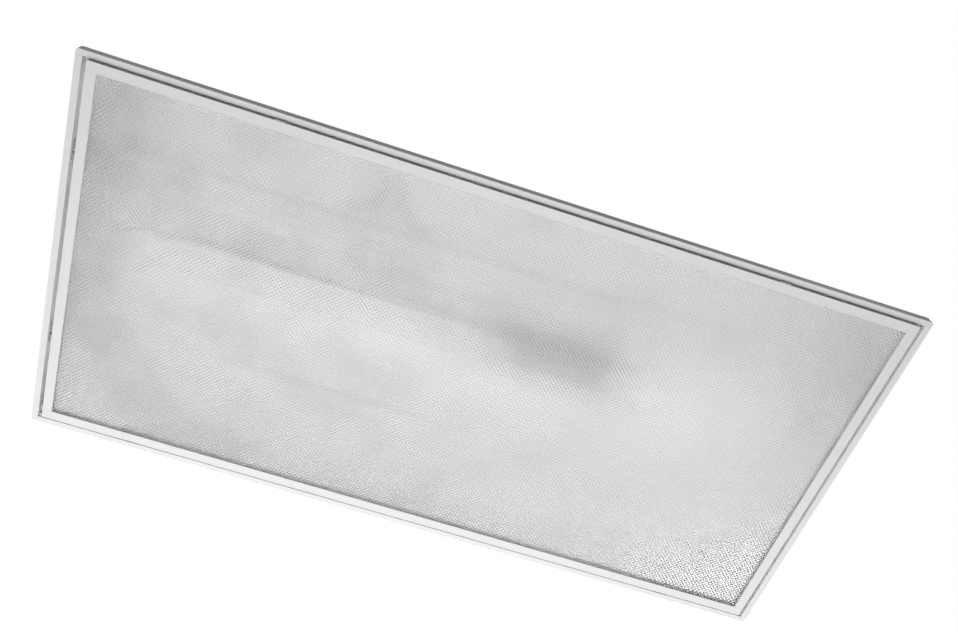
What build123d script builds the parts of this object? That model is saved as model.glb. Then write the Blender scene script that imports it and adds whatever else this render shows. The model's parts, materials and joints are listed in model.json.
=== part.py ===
from build123d import *
import math
import os

# Recessed lay-in ceiling light with a hinged, prismatic door, millimetres.
# X runs along the length, Y across (minus Y is the latch side), Z points up into the ceiling.
# The origin is the middle of the light, in the plane of the flange that rests on the ceiling grid.

# ---------------------------------------------------------------- driving dimensions
overall_length = 1212.85
overall_width = 603.25
housing_height = 85.0
sheet = 0.8

# Rim of the housing, which shows around the door.
long_flange = 8.1
end_flange = 9.5
rim_height = 14.0
lip_height = 6.0
rim_ledge = 20.6
rim_corner = 4.0
wall_lean = 19.0

# Door frame.
door_proud = 5.0
near_gap = 1.9
far_gap = 6.1
end_gap = 7.6
rail_width = 14.5
rail_wall = 13.0
hem_width = 3.0
butt_joint = 0.2

# Lens.
lens_thickness = 3.0
lens_side_play = 2.0
lens_near_set = 6.3
lens_far_set = 7.1

# Ballast tray and ballast.
tray_drop = 29.2
tray_half_width = 72.0
tray_spread = 23.0
tray_foot = 12.0
tray_end_gap = 20.0
ballast_length = 200.0
ballast_width = 43.0
ballast_height = 28.0
ballast_x = 150.0
ballast_y = -34.0
ballast_foot = 16.0
ballast_foot_plate = 1.2
ballast_round = 2.0
ballast_screw_inset = 8.0

# Lamps and lampholders.
lamp_y = 150.0
lamp_z = 38.0
lamp_radius = 12.7
glass_wall = 0.8
lamp_end_room = 7.025
cap_wall = 0.3
cap_length = 12.0
cap_face = 3.0
pin_radius = 1.2
pin_spacing = 12.7
pin_length = 7.1
holder_gap = 0.6
holder_front = 5.6
holder_back = 2.6
holder_half_width = 14.0
holder_shoulder = 2.0
holder_above = 30.0
holder_below = 18.0
holder_round = 3.0
holder_back_wall = 0.9
holder_slot = 1.6
holder_lead_depth = 6.0
rotor_bore = 9.0
rotor_fit = 0.08
rotor_slot = 1.25
rotor_thickness = 3.2
contact_thickness = 0.5
contact_width = 2.2
contact_height = 8.0

# Hinges on the far side.
hinge_x = 450.0
hinge_inset = 3.4
hinge_pin_radius = 1.25
hinge_fit = 0.05
hinge_eye_wall = 0.9
hinge_tongue = 20.0
hinge_plate = 1.0
hinge_plate_depth = 12.6
hinge_plate_margin = 2.0
hinge_strap = 1.2
hinge_ear = 1.2
hinge_ear_margin = 1.35
hinge_side_play = 2.4
hinge_pin_end = 1.0
hinge_screw_x = 6.0
hinge_screw_y = 7.0

# Latches on the near side.
latch_left_x = -333.0
latch_right_x = 385.0
latch_width = 16.0
latch_plate = 1.0
latch_travel = 4.5
latch_depth = 16.0
latch_rise = 0.4
finger_reach = 1.4
guide_height = 1.1
guide_side = 7.5
guide_rivet = 5.0
guide_rivet_drop = 1.9
guide_roof = 0.8
guide_roof_back = 3.0
guide_roof_length = 6.0

# Safety clips at the ends.
clip_from_top_edge = 32.025
clip_z = 42.0
clip_width = 30.0
clip_reach = 22.0
clip_plate = 1.0
clip_pin_radius = 0.9
clip_fit = 0.05
clip_knuckle_wall = 0.6
clip_inset = 1.6
clip_ear = 1.2
clip_ear_half = 2.2

# Corner brackets and lens clips of the door.
bracket_length = 20.0
bracket_leg = 30.0
bracket_height = 6.0
bracket_z = 1.0
bracket_wall = 1.0
bracket_rivet_x = 10.0
bracket_rivet_y = 7.0
lens_clip_x = 450.0
lens_clip_y = 130.0
lens_clip_length = 14.0
lens_clip_wall = 0.7
lens_clip_lap = 5.0
lens_clip_end_lap = 6.0

# Openings and fasteners.
access_x = -165.0
access_y = -150.0
access_length = 130.0
access_width = 70.0
access_overlap = 10.0
knockout_radius = 11.1
knockout_slit = 0.3
knockout_bridge = 3.0
access_round = 3.0
hanger_hole_radius = 3.5
hanger_from_end = 56.425
hanger_from_top_edge = 27.025
screw_radius = 2.0
screw_length = 6.0
screw_washer = 4.0
screw_washer_height = 0.7
screw_hex = 3.6
screw_hex_height = 2.3
rivet_radius = 1.5
rivet_head = 2.8
rivet_head_height = 0.9
rivet_tail = 0.5
tab_length = 20.0
tab_width = 40.0
tab_pitch = 180.0
tray_screw_pitch = 320.0

# Leads and what holds them.
wire_radius = 1.2
wire_gap = 0.2
sleeve_radius = 4.0
sleeve_wall = 0.9
sleeve_beyond = 57.0
sleeve_from_ballast = 298.0
bundle_y = -41.0
grommet_radius = 9.0
grommet_lip = 2.0
grommet_wall = 3.8
grommet_below = 3.0
grommet_above = 2.0
left_grommet_from_end = 79.425
left_grommet_y = -21.0
right_grommet_beyond = 64.0
cable_clip_wall = 1.3
cable_clip_width = 8.0
cable_clip_tongue = 1.2
cable_clip_screw = 11.0
cable_clip_end = 0.5
ground_screw = (-236.0, 52.0)
earth_ring_thickness = 0.8
earth_ring_radius = 4.4
earth_tail_length = 8.0
earth_tail_width = 3.2
nut_y = -112.0
nut_z = 66.0
nut_length = 18.0
nut_radius = 4.2
nut_tip = 2.8
nut_wing = 1.0
nut_wing_length = 7.0
nut_wing_height = 1.6
nut_x = {"black": -152.0, "white": -161.0, "green": -171.0}

# Clearances between pieces that don't touch.
clearance = 0.3
sheet_gap = 0.2

# ---------------------------------------------------------------- derived planes
half_length = overall_length / 2
half_width = overall_width / 2
opening_x = half_length - end_flange
opening_y = half_width - long_flange
ledge_y = half_width - rim_ledge
top_y = ledge_y - wall_lean
under_top = housing_height - sheet

door_bottom = -door_proud
door_floor = door_bottom + sheet
door_top = door_bottom + rail_wall
door_x = opening_x - end_gap
door_near = -opening_y + near_gap
door_far = opening_y - far_gap
lens_x = door_x - sheet - lens_side_play
lens_near = door_near + sheet + lens_near_set
lens_far = door_far - sheet - lens_far_set
lens_bottom = door_floor + sheet
lens_top = lens_bottom + lens_thickness

tray_bottom = under_top - tray_drop
tray_foot_y = tray_half_width + tray_spread
tray_x = half_length - tray_end_gap

lamp_face = half_length - lamp_end_room
holder_face = lamp_face + holder_gap
holder_x = holder_face + holder_front
holder_end = holder_x + holder_back
cavity_end = holder_end - holder_back_wall
wire_x = holder_face + holder_front / 2

hinge_y = door_far - hinge_inset
hinge_z = 0.0
hinge_eye = hinge_pin_radius + hinge_fit + hinge_eye_wall

nose_z = lip_height + latch_rise
leg_y = -opening_y + clearance + latch_travel + clearance
rivet_z = bracket_z + bracket_height / 2
clip_x = half_length - sheet - clip_inset
clip_y = top_y - clip_from_top_edge
hanger_x = half_length - hanger_from_end
hanger_y = top_y - hanger_from_top_edge

ballast_left = ballast_x - ballast_length / 2 + ballast_foot
ballast_right = ballast_x + ballast_length / 2 - ballast_foot
channel_z = tray_bottom + tray_drop / 2
holder_top = lamp_z + holder_above
side_step = wire_radius + wire_gap
bundle_z = tray_bottom - sleeve_radius - cable_clip_wall - wire_gap
left_grommet = (left_grommet_from_end - tray_x, left_grommet_y)
right_grommet = (ballast_right + right_grommet_beyond, ballast_y)
sleeve_left = left_grommet[0] + sleeve_beyond
sleeve_right = ballast_left - sleeve_from_ballast

# ---------------------------------------------------------------- helpers
def block(x, y, z):
    """A box between two values on each axis."""
    low = [min(pair) for pair in (x, y, z)]
    high = [max(pair) for pair in (x, y, z)]
    size = [b - a for a, b in zip(low, high)]
    return Pos(*low) * Box(*size, align=(Align.MIN, Align.MIN, Align.MIN))


def rod(start, end, radius):
    """A round bar from one point to another."""
    along = Vector(*end) - Vector(*start)
    upright = (Align.CENTER, Align.CENTER, Align.MIN)
    return Plane(origin=start, z_dir=along) * Cylinder(radius, along.length, align=upright)


def slab(points, plane, thickness):
    """A flat-sided piece with the given outline in a plane, as thick as asked."""
    outline = make_face(Polyline(*points, close=True))
    return extrude(plane * outline, thickness)


def joined(pieces):
    """Separate solids kept together under one name."""
    return Compound(children=[solid for piece in pieces for solid in piece.solids()])


def mirror_x(piece):
    """The same piece at the other end of the light."""
    return piece.mirror(Plane.YZ)


def screw(seat, head, length):
    """A hex washer-head sheet screw: its head stands on the seat, along the head direction."""
    seat, head = Vector(*seat), Vector(*head)
    top = seat + head * screw_washer_height
    washer = rod(seat, top, screw_washer)
    hexagon = Plane(origin=top, z_dir=head) * extrude(RegularPolygon(screw_hex, 6), screw_hex_height)
    return washer + hexagon + rod(seat - head * length, seat, screw_radius)


def rivet(seat, head, grip):
    """A rivet with a low head on each side of the sheets that it grips."""
    seat, head = Vector(*seat), Vector(*head)
    back = seat - head * grip
    shank = rod(back, seat, rivet_radius)
    front = rod(seat, seat + head * rivet_head_height, rivet_head)
    return shank + front + rod(back - head * rivet_tail, back, rivet_head)


def lead(name, points, radius=wire_radius):
    """An insulated wire through its points, with each bend as wide as its two runs allow."""
    radii = []
    for before, here, after in zip(points, points[1:], points[2:]):
        first = Vector(*here) - Vector(*before)
        second = Vector(*after) - Vector(*here)
        half_turn = math.radians(first.get_angle(second)) / 2
        radii.append(0.45 * min(first.length, second.length) / math.tan(half_turn))
    print(name, "bend radii", [round(r, 1) for r in radii])
    path = FilletPolyline(*points, radius=radii)
    return sweep(Plane(origin=path @ 0, z_dir=path % 0) * Circle(radius), path=path)


# ---------------------------------------------------------------- where fasteners go
tray_screw_x = [step * tray_screw_pitch for step in (-1.5, -0.5, 0.5, 1.5)]
tray_screw_y = tray_foot_y + tray_foot / 2
tab_y = [-tab_pitch, 0.0, tab_pitch]
tab_x = half_length - sheet - tab_length / 2
access_screw_x = access_length / 2 + access_overlap / 2
hinge_screw_line = hinge_y + hinge_screw_y
ballast_screw_x = ballast_length / 2 - ballast_screw_inset
clip_screw_y = bundle_y + cable_clip_screw
cable_clip_x = [-80.0, -290.0, -400.0]

top_screws = [(side * tab_x, y) for side in (-1, 1) for y in tab_y]
tray_screws = [(x, side * tray_screw_y) for x in tray_screw_x for side in (-1, 1)]
access_screws = [(access_x + side * access_screw_x, access_y) for side in (-1, 1)]
hinge_screws = [
    (side * hinge_x + offset, hinge_screw_line)
    for side in (-1, 1)
    for offset in (-hinge_screw_x, hinge_screw_x)
]
ballast_screws = [(ballast_x + side * ballast_screw_x, ballast_y) for side in (-1, 1)]
clip_screws = [(x, clip_screw_y) for x in cable_clip_x]


# ---------------------------------------------------------------- housing
def near_rim():
    """The latch-side edge: flange, outer skirt, ledge and inner lip, over the full length."""
    outline = block((-half_length, half_length), (-half_width, -ledge_y), (0, rim_height))
    outer_corners = outline.edges().filter_by(Axis.Z).sort_by(Axis.Y)[:2]
    rim = fillet(outer_corners, rim_corner)
    inner_x = half_length - sheet
    inside = (-half_width + sheet, -ledge_y + rim_corner)
    hollow = block((-inner_x, inner_x), inside, (sheet, rim_height - sheet))
    hollow = fillet(hollow.edges().filter_by(Axis.Z).sort_by(Axis.Y)[:2], rim_corner - sheet)
    rim -= hollow
    rim -= block((-half_length, half_length), (-opening_y, 0), (-1, rim_height - sheet))
    lip = block((-opening_x, opening_x), (-opening_y - sheet, -opening_y), (0, lip_height))
    return rim + lip


def far_rim():
    """The hinge-side edge: the same channel, which stops where the end flanges cross it."""
    reach = opening_x - sheet_gap
    rim = block((-reach, reach), (ledge_y, half_width), (0, rim_height))
    rim -= block((-reach, reach), (ledge_y - 1, half_width - sheet), (sheet, rim_height - sheet))
    rim -= block((-reach, reach), (ledge_y - 1, opening_y), (-1, rim_height - sheet))
    lip = block((-reach, reach), (opening_y, opening_y + sheet), (0, lip_height))
    inner = half_length - sheet - reach
    for side in (-1, 1):
        ends = (side * reach, side * (reach + inner))
        rim += block(ends, (ledge_y, half_width - rim_corner), (rim_height - sheet, rim_height))
    return rim + lip


def pan():
    """The folded top and its two leaning walls, open below and at both ends."""
    reach = half_length - sheet
    slope = math.hypot(wall_lean, housing_height - rim_height)
    run = sheet * slope / (housing_height - rim_height)
    drop_y = wall_lean * sheet / (housing_height - rim_height)
    foot = rim_height - sheet
    outer = [(-ledge_y, foot), (-ledge_y, rim_height), (-top_y, housing_height)]
    inner = [(-ledge_y + run, foot), (-ledge_y + run, rim_height), (-top_y + run - drop_y, under_top)]
    mirrored_outer = [(-y, z) for y, z in reversed(outer)]
    mirrored_inner = [(-y, z) for y, z in reversed(inner)]
    start = Plane(origin=(-reach, 0, 0), x_dir=(0, 1, 0), z_dir=(1, 0, 0))
    shell = slab(outer + mirrored_outer, start, 2 * reach)
    return shell - slab(inner + mirrored_inner, start, 2 * reach)


def housing_shell():
    """Rims and pan as one folded sheet, with its openings and screw holes."""
    shell = near_rim() + far_rim() + pan()
    through = (under_top - 1, housing_height + 1)
    access_side = (access_x - access_length / 2, access_x + access_length / 2)
    shell -= block(access_side, (access_y - access_width / 2, access_y + access_width / 2), through)
    for x, y in top_screws + tray_screws + access_screws:
        shell -= rod((x, y, through[0]), (x, y, through[1]), screw_radius)
    for x, y in hinge_screws:
        shell -= rod((x, y, rim_height - 2 * sheet), (x, y, rim_height + 1), screw_radius)
    for side_x in (-hanger_x, hanger_x):
        for side_y in (-hanger_y, hanger_y):
            hole = rod((side_x, side_y, through[0]), (side_x, side_y, through[1]), hanger_hole_radius)
            shell -= hole
    return shell


def end_plate():
    """The right-hand end: wall, flange, lip, screw tabs, holder windows and clip windows."""
    wall_x = half_length - sheet
    near_y = -opening_y + sheet_gap
    plate = block((opening_x, half_length), (near_y, half_width), (0, rim_height))
    plate = fillet(plate.edges().filter_by(Axis.Z).sort_by(Axis.Y)[-2:].sort_by(Axis.X)[-1:], rim_corner)
    hollow = block((opening_x - 1, wall_x), (near_y - 1, half_width - sheet), (sheet, rim_height + 1))
    inner_corner = hollow.edges().filter_by(Axis.Z).sort_by(Axis.Y)[-2:].sort_by(Axis.X)[-1:]
    plate -= fillet(inner_corner, rim_corner - sheet)
    plate -= block((opening_x, half_length + 1), (near_y - 1, -ledge_y), (rim_height - sheet, rim_height + 1))
    facing = Plane(origin=(wall_x, 0, 0), x_dir=(0, 1, 0), z_dir=(1, 0, 0))
    wall = [(-ledge_y, rim_height), (-top_y, housing_height), (top_y, housing_height), (ledge_y, rim_height)]
    plate += slab(wall, facing, sheet)
    lip = (near_y, opening_y - sheet_gap)
    plate += block((opening_x, opening_x + sheet), lip, (0, lip_height))
    for y in tab_y:
        tab = block((wall_x - tab_length, wall_x), (y - tab_width / 2, y + tab_width / 2), (0, sheet))
        tab = Pos(0, 0, under_top - sheet) * tab
        plate += tab - rod((tab_x, y, 0), (tab_x, y, housing_height), screw_radius)
    window = holder_half_width - holder_shoulder + sheet_gap
    for side in (-1, 1):
        sides = (side * lamp_y - window, side * lamp_y + window)
        heights = (lamp_z - holder_below + holder_shoulder, lamp_z + holder_above - holder_shoulder)
        around = (heights[0] - sheet_gap, heights[1] + sheet_gap)
        plate -= block((wall_x - 1, half_length + 1), sides, around)
        plate = clip_window(plate, side * clip_y, wall_x)
    outer = rod((wall_x, 0, channel_z), (half_length, 0, channel_z), knockout_radius)
    slug = rod((wall_x, 0, channel_z), (half_length, 0, channel_z), knockout_radius - knockout_slit)
    across = (-knockout_bridge / 2, knockout_bridge / 2)
    bridge = block((wall_x, half_length), across, (channel_z, channel_z + knockout_radius + 1))
    return plate - (outer - slug - bridge)


def clip_window(plate, y, wall_x):
    """Cuts the window that a safety clip folds into, and adds the two ears for its pin."""
    half = clip_width / 2 + clearance
    pin = clip_pin_radius + clip_fit
    top = clip_z + clip_reach + clearance
    low = clip_z - clip_ear_half
    plate -= block((wall_x - 1, half_length + 1), (y - half, y + half), (low - sheet, top))
    for side in (-1, 1):
        ear_y = (y + side * half, y + side * (half + clip_ear))
        plate += block((clip_x - clip_ear_half, wall_x), ear_y, (low, clip_z + clip_ear_half))
    return plate - rod((clip_x, y - clip_width, clip_z), (clip_x, y + clip_width, clip_z), clip_pin_radius)


def access_plate():
    """The cover over the wiring hole in the top, with the open knockout for the supply."""
    half_x = access_length / 2 + access_overlap
    half_y = access_width / 2 + access_overlap
    top = (housing_height, housing_height + sheet)
    plate = block((access_x - half_x, access_x + half_x), (access_y - half_y, access_y + half_y), top)
    plate = fillet(plate.edges().filter_by(Axis.Z), access_round)
    plate -= rod((access_x, access_y, top[0] - 1), (access_x, access_y, top[1] + 1), knockout_radius)
    for x, y in access_screws:
        plate -= rod((x, y, top[0] - 1), (x, y, top[1] + 1), screw_radius)
    return plate


def housing_screws():
    """All the sheet screws of the housing."""
    up, down = (0, 0, 1), (0, 0, -1)
    screws = [screw((x, y, housing_height), up, screw_length) for x, y in top_screws]
    screws += [screw((x, y, under_top - sheet), down, screw_length) for x, y in tray_screws]
    screws += [screw((x, y, housing_height + sheet), up, screw_length) for x, y in access_screws]
    hanger_seat = rim_height - sheet - hinge_plate
    screws += [screw((x, y, hanger_seat), down, screw_length) for x, y in hinge_screws]
    return joined(screws)


# ---------------------------------------------------------------- ballast, tray and wiring
def ballast_tray():
    """The raised channel down the middle that carries the ballast and the wiring."""
    lower = [
        (-tray_foot_y - tray_foot, under_top - sheet),
        (-tray_foot_y, under_top - sheet),
        (-tray_half_width, tray_bottom),
    ]
    slant = sheet * (math.hypot(tray_spread, tray_drop) - tray_spread) / tray_drop
    upper = [
        (-tray_foot_y - tray_foot, under_top),
        (-tray_foot_y + slant, under_top),
        (-tray_half_width + slant, tray_bottom + sheet),
    ]
    lower += [(-y, z) for y, z in reversed(lower)]
    upper += [(-y, z) for y, z in reversed(upper)]
    start = Plane(origin=(-tray_x, 0, 0), x_dir=(0, 1, 0), z_dir=(1, 0, 0))
    tray = slab(lower + upper[::-1], start, 2 * tray_x)
    floor = (tray_bottom - 1, tray_bottom + sheet + 1)
    for x, y in tray_screws:
        tray -= rod((x, y, under_top - 2 * sheet), (x, y, housing_height), screw_radius)
    for x, y in ballast_screws + clip_screws + [ground_screw]:
        tray -= rod((x, y, floor[0]), (x, y, floor[1]), screw_radius)
    for x, y in (left_grommet, right_grommet):
        tray -= rod((x, y, floor[0]), (x, y, floor[1]), grommet_radius - grommet_lip)
    return tray


def ballast_case():
    """The ballast: a folded steel case with a mounting foot at each end."""
    half_x, half_y = ballast_length / 2, ballast_width / 2
    y = (ballast_y - half_y, ballast_y + half_y)
    case = block((ballast_left, ballast_right), y, (tray_bottom - ballast_height, tray_bottom))
    case = fillet(case.edges().filter_by(Axis.X).sort_by(Axis.Z)[:2], ballast_round)
    feet = (tray_bottom - ballast_foot_plate, tray_bottom)
    case += block((ballast_x - half_x, ballast_x + half_x), y, feet)
    for sx, sy in ballast_screws:
        case -= rod((sx, sy, feet[0]), (sx, sy, feet[1]), screw_radius)
    return case


def tray_fasteners():
    """The screws that hold the ballast and the cable clips up under the tray."""
    down = (0, 0, -1)
    screws = [screw((x, y, tray_bottom - ballast_foot_plate), down, screw_length) for x, y in ballast_screws]
    screws += [screw((x, y, tray_bottom - cable_clip_tongue), down, screw_length) for x, y in clip_screws]
    return joined(screws)


def grounding_screw():
    """The green earth screw and the ring under its head."""
    x, y = ground_screw
    seat = tray_bottom - earth_ring_thickness
    ring = rod((x, y, seat), (x, y, tray_bottom), earth_ring_radius)
    ring -= rod((x, y, seat), (x, y, tray_bottom), screw_radius)
    tail_y = (y - earth_tail_length, y - earth_tail_length / 2)
    tail = block((x, x + earth_tail_width), tail_y, (seat, tray_bottom))
    return screw((x, y, seat), (0, 0, -1), screw_length) + ring + tail


def grommet(place):
    """A rubber bush that lines a hole in the tray."""
    x, y = place
    low, high = tray_bottom - grommet_below, tray_bottom + sheet + grommet_above
    bush = rod((x, y, low), (x, y, high), grommet_radius)
    groove = rod((x, y, tray_bottom), (x, y, tray_bottom + sheet), grommet_radius + 1)
    bush -= groove - rod((x, y, low), (x, y, high), grommet_radius - grommet_lip)
    return bush - rod((x, y, low), (x, y, high), grommet_radius - grommet_wall)


def cable_clip(x):
    """A nylon clip round the wires, with a tongue up to its screw."""
    y, z = bundle_y, bundle_z
    low, high = x - cable_clip_width / 2, x + cable_clip_width / 2
    under = tray_bottom - cable_clip_tongue
    band = rod((low, y, z), (high, y, z), sleeve_radius + cable_clip_wall)
    tongue_y = (y, clip_screw_y + screw_washer + cable_clip_end)
    tongue = block((low, high), tongue_y, (under, tray_bottom))
    clip = band + tongue - rod((low, y, z), (high, y, z), sleeve_radius)
    return clip - rod((x, clip_screw_y, under), (x, clip_screw_y, tray_bottom), screw_radius)


def lead_sleeve():
    """The dark sleeve round the two lamp leads on the way to the left end."""
    sleeve = rod((sleeve_left, bundle_y, bundle_z), (sleeve_right, bundle_y, bundle_z), sleeve_radius)
    bore = sleeve_radius - sleeve_wall
    return sleeve - rod((sleeve_left, bundle_y, bundle_z), (sleeve_right, bundle_y, bundle_z), bore)


def to_holder(grommet_at, offset, end, side):
    """The last stretch of a lamp lead: up through the grommet, along the tray, down to a holder."""
    x, y = grommet_at
    return [
        (x, y + offset, bundle_z),
        (x, y + offset, channel_z),
        (end * wire_x, y + offset * 3, channel_z + 2.0),
        (end * wire_x, side * lamp_y, holder_top + 12.0),
        (end * wire_x, side * lamp_y, holder_top),
    ]


def lamp_lead(name, offset, side):
    """A lead from the ballast through the sleeve to a holder at the left end."""
    y = bundle_y + offset
    start = [(ballast_left, y, bundle_z), (sleeve_left - 20.0, y, bundle_z)]
    return lead(name, start + to_holder(left_grommet, offset, -1, side))


def right_lead(name, offset, side):
    """A lead from the ballast to a holder at the right end."""
    y = right_grommet[1] + offset
    start = [(ballast_right + wire_gap, y, bundle_z)]
    return lead(name, start + to_holder(right_grommet, offset, 1, side))


def supply_lead(name, beside, turn_x):
    """A supply lead from the ballast, over the edge of the tray, to its wire nut."""
    x, y, z = nut_x[name], nut_y, nut_z
    points = [
        (ballast_left, bundle_y - beside, bundle_z),
        (turn_x, bundle_y - beside, bundle_z),
        (x, y + 34.0, bundle_z + 1.0),
        (x, y + 14.0, z),
        (x, y, z),
    ]
    return lead("lead_" + name, points)


def earth_lead():
    """The earth lead from its screw, under the lamp leads, to its wire nut."""
    x, y, z = nut_x["green"], nut_y, nut_z
    across = bundle_z - 2 * wire_radius - 1.0
    points = [
        (ground_screw[0] + earth_tail_width / 2, ground_screw[1] - earth_tail_length, tray_bottom - 2.2),
        (-222.0, 10.0, across + 1.6),
        (-206.0, -36.0, across),
        (-186.0, y + 34.0, bundle_z - 1.0),
        (x, y + 14.0, z),
        (x, y, z),
    ]
    return lead("lead_green", points)


def wire_nut(x):
    """A twist-on connector at the end of a supply lead."""
    upright = (Align.CENTER, Align.CENTER, Align.MIN)
    cap = Cone(nut_radius, nut_tip, nut_length, align=upright)
    wing_x = (x - nut_radius - nut_wing, x + nut_radius + nut_wing)
    wing_z = (nut_z - nut_wing_height / 2, nut_z + nut_wing_height / 2)
    wings = block(wing_x, (nut_y - nut_wing_length, nut_y), wing_z)
    return Plane(origin=(x, nut_y, nut_z), z_dir=(0, -1, 0)) * cap + wings


# ---------------------------------------------------------------- lamps and lampholders
def lampholder(side):
    """A rotary lampholder of the right end: its shoulders bear on the inside of the end wall."""
    y, z = side * lamp_y, lamp_z
    low, high = z - holder_below, z + holder_above
    wide = (y - holder_half_width, y + holder_half_width)
    front = block((holder_face, half_length - sheet), wide, (low, high))
    front = fillet(front.edges().filter_by(Axis.X), holder_round)
    neck = holder_half_width - holder_shoulder
    heights = (low + holder_shoulder, high - holder_shoulder)
    holder = front + block((half_length - sheet, holder_end), (y - neck, y + neck), heights)
    holder -= rod((holder_face, y, z), (cavity_end, y, z), rotor_bore)
    holder -= block((holder_face, cavity_end), (y - holder_slot, y + holder_slot), (low, z))
    lead_end = (wire_x, y, high - holder_lead_depth)
    return holder - rod(lead_end, (wire_x, y, high), side_step)


def holder_contacts(end, side):
    """The two brass contacts behind the pins of one holder."""
    pieces = []
    for pin in (-1, 1):
        y = side * lamp_y + pin * pin_spacing / 2
        x = (end * (cavity_end - contact_thickness), end * cavity_end)
        wide = (y - contact_width / 2, y + contact_width / 2)
        pieces.append(block(x, wide, (lamp_z - contact_height / 2, lamp_z + contact_height / 2)))
    return pieces


def lamp_tube(side):
    """The glass tube of a lamp."""
    ends = lamp_face - cap_face
    y = side * lamp_y
    tube = rod((-ends, y, lamp_z), (ends, y, lamp_z), lamp_radius)
    return tube - rod((-ends, y, lamp_z), (ends, y, lamp_z), lamp_radius - glass_wall)


def lamp_cap(side):
    """The right-hand metal cap of a lamp with its two pins."""
    y = side * lamp_y
    inner = lamp_face - cap_length
    cap = rod((inner, y, lamp_z), (lamp_face, y, lamp_z), lamp_radius + cap_wall)
    cap -= rod((inner, y, lamp_z), (lamp_face - cap_face, y, lamp_z), lamp_radius)
    for pin in (-1, 1):
        pin_y = y + pin * pin_spacing / 2
        cap += rod((lamp_face - cap_face, pin_y, lamp_z), (lamp_face + pin_length, pin_y, lamp_z), pin_radius)
    return cap


def lamp_rotor(side):
    """The right-hand rotor, which turns in its holder with the pins of the lamp."""
    y = side * lamp_y
    start = holder_face + clearance
    rotor = rod((start, y, lamp_z), (start + rotor_thickness, y, lamp_z), rotor_bore - rotor_fit)
    across = (y - rotor_bore, y + pin_spacing / 2 + rotor_slot)
    high = (lamp_z - rotor_slot, lamp_z + rotor_slot)
    return rotor - block((start, start + rotor_thickness), across, high)


# ---------------------------------------------------------------- door
def long_rail(near):
    """A long rail of the door: floor, outer wall, closed ends and a hem along its inner edge."""
    side = -1 if near else 1
    outer = door_near if near else door_far
    inner = outer - side * rail_width
    rail = block((-door_x, door_x), (outer, inner), (door_bottom, door_top))
    inside = (outer - side * sheet, inner - side)
    rail -= block((-door_x + sheet, door_x - sheet), inside, (door_floor, door_top + 1))
    hem_x = door_x - rail_width
    rail += block((-hem_x, hem_x), (inner, inner + side * hem_width), (door_floor, lens_bottom))
    return rail


def near_rail():
    """The latch-side rail, notched where the latches pass through its wall."""
    rail = long_rail(True)
    for x in (latch_left_x, latch_right_x):
        half = latch_width / 2 + clearance
        notch = (door_near, door_near + sheet)
        rail -= block((x - half, x + half), notch, (door_floor, door_top + 1))
    return pierced(rail)


def far_rail():
    """The hinge-side rail, notched where the hinge tongues reach into it."""
    rail = long_rail(False)
    for side in (-1, 1):
        half = hinge_tongue / 2 + hinge_side_play / 2
        notch = (door_far - sheet, door_far)
        low = hinge_z - hinge_eye + clearance / 2
        rail -= block((side * hinge_x - half, side * hinge_x + half), notch, (low, door_top + 1))
    return pierced(rail)


def end_rail():
    """The right-hand rail, which butts between the two long ones."""
    near, far = door_near + rail_width + butt_joint, door_far - rail_width - butt_joint
    inner = door_x - rail_width
    rail = block((inner, door_x), (near, far), (door_bottom, door_top))
    rail -= block((inner - 1, door_x - sheet), (near, far), (door_floor, door_top + 1))
    rail += block((inner, inner + hem_width), (near, far), (door_floor, lens_bottom))
    return rail


def corner_bracket(end, near):
    """An angle inside one corner of the door that ties an end rail to a long rail."""
    x = end * (door_x - sheet)
    y = door_near + sheet if near else door_far - sheet
    inward = 1 if near else -1
    height = (bracket_z, bracket_z + bracket_height)
    along_x = block((x, x - end * bracket_length), (y, y + inward * bracket_wall), height)
    along_y = block((x, x - end * bracket_wall), (y, y + inward * bracket_leg), height)
    bracket = along_x + along_y
    for seat, head in corner_seats(end, near):
        bracket -= rivet_hole(seat, head)
    return bracket


def corner_seats(end, near):
    """Where the two rivets of a corner bracket sit, and which way their heads face."""
    x = end * (door_x - sheet - bracket_wall)
    inward = 1 if near else -1
    y = (door_near if near else door_far) + inward * (sheet + bracket_wall)
    first = (x - end * bracket_rivet_x, y, rivet_z), (0, inward, 0)
    second = (x, y + inward * (bracket_leg - bracket_rivet_y), rivet_z), (-end, 0, 0)
    return [first, second]


def rivet_hole(seat, head):
    """The hole for a rivet, longer than the sheets are thick."""
    seat, head = Vector(*seat), Vector(*head)
    return rod(seat - head * 4.0, seat + head * 3.0, rivet_radius)


def lens_clip_seats():
    """Where the rivets of the lens clips sit."""
    seats = []
    for x in (-lens_clip_x, 0, lens_clip_x):
        seats.append(((x, door_near + sheet + lens_clip_wall, rivet_z), (0, 1, 0)))
    for end in (-1, 1):
        for y in (-lens_clip_y, lens_clip_y):
            seats.append(((end * (door_x - sheet - lens_clip_wall), y, rivet_z), (-end, 0, 0)))
    return seats


def guide_seats():
    """Where the rivets of the latch guides sit."""
    seats = []
    for x in (latch_left_x, latch_right_x):
        for side in (-1, 1):
            offset = side * (latch_width / 2 + guide_rivet)
            seat = (x + offset, door_near + sheet + latch_plate, rivet_z - guide_rivet_drop)
            seats.append((seat, (0, 1, 0)))
    return seats


def all_corner_seats():
    """The rivets of all four corner brackets."""
    return [seat for end in (-1, 1) for near in (True, False) for seat in corner_seats(end, near)]


def pierced(piece):
    """A door piece with every rivet hole that falls on it."""
    for seat, head in all_corner_seats() + lens_clip_seats() + guide_seats():
        piece -= rivet_hole(seat, head)
    return piece


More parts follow.
